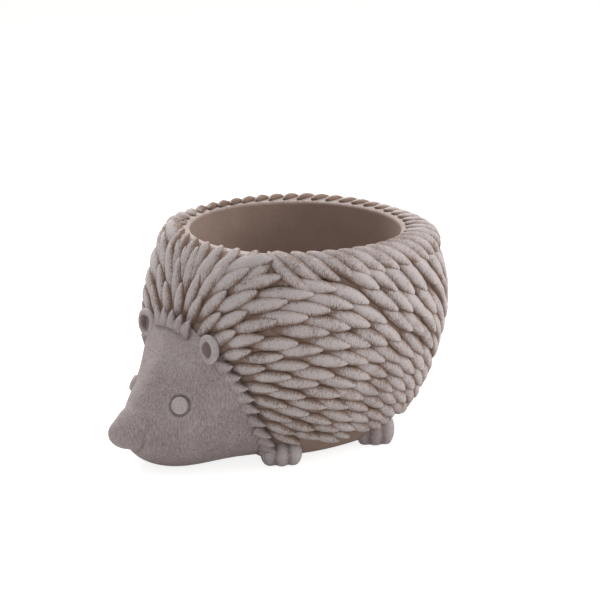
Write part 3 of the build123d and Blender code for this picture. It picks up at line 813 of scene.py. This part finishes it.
ears = [node_middle(side + "_ear") for side in ("left", "right")]
teeth = [tooth for tooth in measured("face_fringe")
         if min(np.linalg.norm((tooth["root"] + tooth["tip"]) / 2 - ear) for ear in ears) > EAR_ROOM]
for tooth in teeth:
    tooth["breadth"] = TOOTH_HALF
    tooth["stand"] = TOOTH_THICK
    for key in ("root", "bend", "tip"):
        tooth[key] = tooth[key] + tooth["out"] * TOOTH_PROUD
    tooth["tip"] = tooth["tip"] - (tooth["tip"] - tooth["root"]) * TOOTH_SHORTER
fringe = lay_leaves("cast_face_fringe", teeth, master_tooth, face_cement, FRINGE_SEED)
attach(fringe, "planter")
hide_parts("face_fringe")
print("teeth:", len(teeth), "faces:", len(fringe.data.polygons))


# %% [markdown]
# ## Face, ears, nose, eyes and paws
#
# In the mould the fringe, the cheeks and the paws are one soft skin: no line is sharp, because
# the master was clay, smoothed with a wet brush. A voxel remesh turns solids into one even
# skin, and rounds of smoothing melt their edges into each other.
#
# For the paint we need to know what stands proud. A copy of the points is smoothed far more
# than the skin itself. Where a point lies outside its smoothed copy it is on a ridge, and where
# it lies inside it is in a hollow. That difference is the crest attribute.

# %% Smoothing and crests
CREST_ROUNDS = 60


def smoothed(points, edges, rounds):
    """Each point moved to the middle of its neighbours, a number of times."""
    count = np.bincount(edges.ravel(), minlength=len(points))[:, None]
    moved = points.copy()
    for _ in range(rounds):
        total = np.zeros_like(moved)
        np.add.at(total, edges[:, 0], moved[edges[:, 1]])
        np.add.at(total, edges[:, 1], moved[edges[:, 0]])
        moved = 0.5 * moved + 0.5 * total / np.maximum(count, 1)
    return moved


def mark_crests(mesh, full_height_mm):
    """Writes the crest attribute: 0.5 on level ground, 1 on a ridge, 0 in a hollow."""
    points = point_table(mesh)
    lift = points - smoothed(points, edge_table(mesh), CREST_ROUNDS)
    proud = (lift * point_table(mesh, "normal")).sum(axis=1)
    store(mesh, "crest", "FLOAT", np.clip(0.5 + 0.5 * proud / (full_height_mm * MM), 0, 1))


def write_points(mesh, points):
    """Moves the mesh's points to these places."""
    mesh.vertices.foreach_set("co", points.ravel())
    mesh.update()


# %% [markdown]
# The brow, the cheeks and the joint of the nose are melted much further than the rest. The
# sockets of the eyes keep their edge, and what stands on the ground stays there. Then a soft
# groove is pressed in behind the nose. The eyes are drawn wider.

# %% Melt the face, groove the nose and widen the eyes
MELT_ROUNDS = 90
SOCKET_MM = 9  # nothing melts so near to the middle of an eye
SOCKET_BLEND_MM = 5  # from there the melt grows to its full strength over this distance
ON_GROUND = 0.6 * MM
GROOVE_REACH_MM = 16.5  # from the nose's middle
GROOVE_WIDTH_MM = 1.3
GROOVE_DEPTH = 1.0 * MM
EYE_SCALE = 1.20
nose_middle = Vector(node_middle("nose"))


def melt_face(mesh, kept_middles):
    """Smooths the whole skin but what is near the kept middles or on the ground."""
    points = point_table(mesh)
    nearest = np.min([np.linalg.norm(points - middle, axis=1) for middle in kept_middles], axis=0)
    weight = np.clip((nearest / MM - SOCKET_MM) / SOCKET_BLEND_MM, 0, 1)[:, None]
    on_floor = points[:, 2] < ON_GROUND
    soft = smoothed(points, edge_table(mesh), MELT_ROUNDS)
    moved = points + (soft - points) * weight
    moved[on_floor] = points[on_floor]
    write_points(mesh, moved)


def groove_nose(mesh):
    """Presses a soft groove round the back of the nose, weaker towards its front and top."""
    points = point_table(mesh)
    off = (points - np.array(nose_middle)) / MM
    line = np.exp(-((np.linalg.norm(off, axis=1) - GROOVE_REACH_MM) / GROOVE_WIDTH_MM) ** 2)
    line *= np.clip((off[:, 1] - 2) / 4, 0, 1) * np.clip((4 - off[:, 2]) / 5, 0, 1)
    write_points(mesh, points - point_table(mesh, "normal") * line[:, None] * GROOVE_DEPTH)


def widen_eye(mesh):
    """Draws an eye wider, but no prouder. The axis in which its points spread least is the one
    in which it looks."""
    points = point_table(mesh)
    middle = points.mean(axis=0)
    off = points - middle
    look = np.linalg.eigh(np.cov(off.T))[1][:, 0]
    depth = np.outer(off @ look, look)
    write_points(mesh, middle + (off - depth) * EYE_SCALE + depth)


# %% [markdown]
# The CAD's ears and paws are plainer than the real ones. They are made anew from balls, at
# the same places, and melted too. An ear is a ring round a deep dish. A paw is three toes side
# by side, with the foot behind them. A ball is written as its middle and its three half axes.

# %% Balls for the ears and the paws
EAR_TURN = math.radians(24)  # how far an ear looks to its side
EAR_RAISE = 0.12  # and how far up, as a slope
EAR_SHIFT = (1.5, -3.0, -2.0)  # in mm from the CAD ear's middle, the first one outwards
EAR_RING = (6.7, 7.4)  # in mm, half width and half height of the ring's middle line
EAR_DISH = (7.2, 7.8, 2.6)  # half axes in mm of the ball that is the dish's floor
DISH_BACK_MM = 4.6  # how far it lies behind the ring
EAR_NECK = (7.2, 7.7, 6)  # the same for the ball that joins the ear to the head
NECK_BACK_MM = 9
NECK_INWARD_MM = 1.5
RING_BALLS = 40
RING_MM = (1.7, 1.0)  # least half thickness of the ring, and what its outer side adds
RING_OUTER = math.radians(15)  # where the ring is thickest, up from its outer side
RING_SINK_MM = 6.0  # how far its inner side runs back into the head
PAW_TURN = math.radians(58)  # how far a paw points out
PAW_BACK = 2.5 * MM
TOE_HALVES = {"front": (6.4 * MM, 9.0 * MM, 9.0 * MM), "rear": (6.4 * MM, 7.0 * MM, 12.0 * MM)}
TOE_PITCH = {"front": 7.3 * MM, "rear": 6.6 * MM}
TOE_LEVEL = 0.80  # height of a toe's middle, as a share of its half height
MIDDLE_TOE = 1.5 * MM  # how far it juts out before its neighbours
FOOT_BACK_MM = 7
FOOT_MM = 9  # half the foot's length


def add_balls(piece, balls):
    """Adds balls to a piece before it is melted. Each is a middle and three axes."""
    work = bmesh.new()
    work.from_mesh(piece.data)
    for middle, *axes in balls:
        frame_of_ball = Matrix([list(axis) + [0] for axis in axes] + [[0, 0, 0, 1]]).transposed()
        frame_of_ball.translation = middle
        bmesh.ops.create_uvsphere(work, u_segments=24, v_segments=16, radius=1, matrix=frame_of_ball)
    work.to_mesh(piece.data)
    work.free()


def ear_frame(side):
    """The ear's middle and the directions in which it looks, is wide and is tall."""
    middle = Vector(node_middle(("left" if side > 0 else "right") + "_ear"))
    look = Vector((side * math.sin(EAR_TURN), -math.cos(EAR_TURN), EAR_RAISE)).normalized()
    wide = Vector((side * math.cos(EAR_TURN), math.sin(EAR_TURN), 0))
    tall = wide.cross(look) * -side
    x, y, z = EAR_SHIFT
    return middle + Vector((side * x, y, z)) * MM, look, wide, tall


def ear_balls(side):
    """The ear as a ring of balls round a deep dish. The ring is thick on its outer side and
    runs into the head on the side of the brow."""
    middle, look, wide, tall = ear_frame(side)
    dish, neck = [[axis * half * MM for axis, half in zip((wide, tall, look), halves)]
                  for halves in (EAR_DISH, EAR_NECK)]
    balls = [(middle - look * DISH_BACK_MM * MM, *dish),
             (middle - look * NECK_BACK_MM * MM - wide * NECK_INWARD_MM * MM, *neck)]
    for step in range(RING_BALLS):
        turn = 2 * math.pi * step / RING_BALLS
        outer = 0.5 + 0.5 * math.cos(turn - RING_OUTER)
        thick = (RING_MM[0] + RING_MM[1] * outer) * MM
        place = middle + wide * math.cos(turn) * EAR_RING[0] * MM + tall * math.sin(turn) * EAR_RING[1] * MM
        place = place - look * (1 - outer) ** 1.3 * RING_SINK_MM * MM
        balls.append((place, wide * thick, tall * thick, look * thick))
    return balls


def paint_ear(mesh, side):
    """The crest attribute of an ear: its dish keeps the stain and its ring takes the paint."""
    middle, look, wide, tall = (np.array(vector) for vector in ear_frame(side))
    off = point_table(mesh) - middle
    reach = np.hypot(off @ wide / EAR_RING[0], off @ tall / EAR_RING[1]) / MM
    deep = np.clip((0.80 - reach) / 0.25, 0, 1) * (off @ look > -RING_SINK_MM * MM)
    store(mesh, "crest", "FLOAT", 0.85 * (1 - deep) - 0.25 * deep)


def paw_balls(node_name, toe, pitch):
    """Three toes side by side, which point out and forward, and the foot behind them."""
    low, high = (Vector(corner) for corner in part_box(node_name))
    side = math.copysign(1, low.x + high.x)
    ahead = Vector((side * math.sin(PAW_TURN), -math.cos(PAW_TURN), 0))
    beside = Vector((-ahead.y, ahead.x, 0))
    middle = (low + high) / 2 - ahead * PAW_BACK
    middle.z = toe[2] * TOE_LEVEL
    up = Vector((0, 0, toe[2]))
    balls = [(middle + beside * k * pitch + ahead * (MIDDLE_TOE if k == 0 else 0), beside * toe[0],
              ahead * toe[1], up) for k in (-1, 0, 1)]
    foot = (middle - ahead * FOOT_BACK_MM * MM, beside * (pitch + toe[0] * 0.8),
            ahead * FOOT_MM * MM, up * 1.1)
    return balls + [foot]


# %% [markdown]
# Now each piece gets its soft skin. One more ball bridges the nose and the brow. The voxels
# are as fine as the piece needs: coarse for the head, fine for an eye. A paint height is how
# far a ridge stands proud where the paint is at its fullest.

# %% Build the head, the eyes, the ears and the paws
BRIDGE_MIDDLE = (0, 11, 5.5)  # in mm from the nose's middle
BRIDGE_HALVES = (12.5, 12, 11.5)
HEAD_PAINT_MM = 1.8
PAW_PAINT_MM = 0.5
EYE_CREST = 0.95


def soft_skin(name, node_names, voxel_mm, rounds, balls=(), anew=False):
    """One skin round these CAD nodes, melted together. Balls are melted in with them, or
    stand for them if the shape is made anew."""
    piece = joined_copy(name, *node_names)
    if anew:
        piece.data.clear_geometry()
    add_balls(piece, balls)
    remesh = piece.modifiers.new("skin", "REMESH")
    remesh.mode = "VOXEL"
    remesh.voxel_size = voxel_mm * MM
    melt = piece.modifiers.new("melt", "SMOOTH")
    melt.factor = 0.5
    melt.iterations = rounds
    baked(piece)
    piece.data.shade_smooth()
    piece.data.materials.clear()
    piece.data.materials.append(face_cement)
    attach(piece, "planter")
    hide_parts(*node_names)
    print(name, len(piece.data.polygons), "faces")
    return piece


bridge = (nose_middle + Vector(BRIDGE_MIDDLE) * MM, *(row * MM for row in Matrix.Diagonal(BRIDGE_HALVES)))
head = soft_skin("cast_head", ["face", "nose"], voxel_mm=0.8, rounds=3, balls=[bridge])
melt_face(head.data, [node_middle(side + "_eye") for side in ("left", "right")])
groove_nose(head.data)
mark_crests(head.data, HEAD_PAINT_MM)
for side, sign in (("left", 1), ("right", -1)):
    eye = soft_skin("cast_" + side + "_eye", [side + "_eye"], voxel_mm=0.3, rounds=4)
    widen_eye(eye.data)
    store(eye.data, "crest", "FLOAT", [EYE_CREST] * len(eye.data.vertices))
    ear = soft_skin("cast_" + side + "_ear", [side + "_ear"], voxel_mm=0.5, rounds=4,
                    balls=ear_balls(sign), anew=True)
    paint_ear(ear.data, sign)
    for end in ("front", "rear"):
        paw_name = end + "_" + side + "_paw"
        paw = soft_skin("cast_" + paw_name, [paw_name], voxel_mm=0.6, rounds=30,
                        balls=paw_balls(paw_name, TOE_HALVES[end], TOE_PITCH[end]), anew=True)
        grounded = point_table(paw.data)
        grounded[:, 2] = np.maximum(grounded[:, 2], 0.0)
        write_points(paw.data, grounded)
        mark_crests(paw.data, PAW_PAINT_MM)


# %% [markdown]
# ## The bowl and the bung
#
# The bowl's shape needs nothing more than its stain: it shows between the quills, inside the
# planting hole and under the belly. The rim is the exception, because the dry brush catches
# it. The bowl keeps its CAD mesh, so its material takes the rim from its height above the
# floor instead of from an attribute. The bung is plain rubber.

# %% Bowl and bung
RIM_BAND = 2 * MM
WALL_CREST = 0.35  # of the bowl below the band

tree = bowl_cement.node_tree
place = add_node(tree, "ShaderNodeTexCoord").outputs["Object"]
height = add_node(tree, "ShaderNodeSeparateXYZ", {0: place}).outputs[2]
near_rim = add_node(tree, "ShaderNodeMapRange",
                    {"Value": height, "From Min": rim_top - RIM_BAND, "From Max": rim_top,
                     "To Min": WALL_CREST, "To Max": 1.0})
for node in tree.nodes:
    if node.type == "ATTRIBUTE":
        for link in list(node.outputs["Fac"].links):
            tree.links.new(near_rim.outputs[0], link.to_socket)

for node_name, look in (("pot_shell", bowl_cement), ("drain_bung", bung_rubber)):
    data = cad[node_name].data
    if not data.materials:
        data.materials.append(look)
    for index in range(len(data.materials)):
        data.materials[index] = look
print("rim height in mm:", round(rim_top / MM, 1))
bpy.data.objects.remove(bowl_copy)
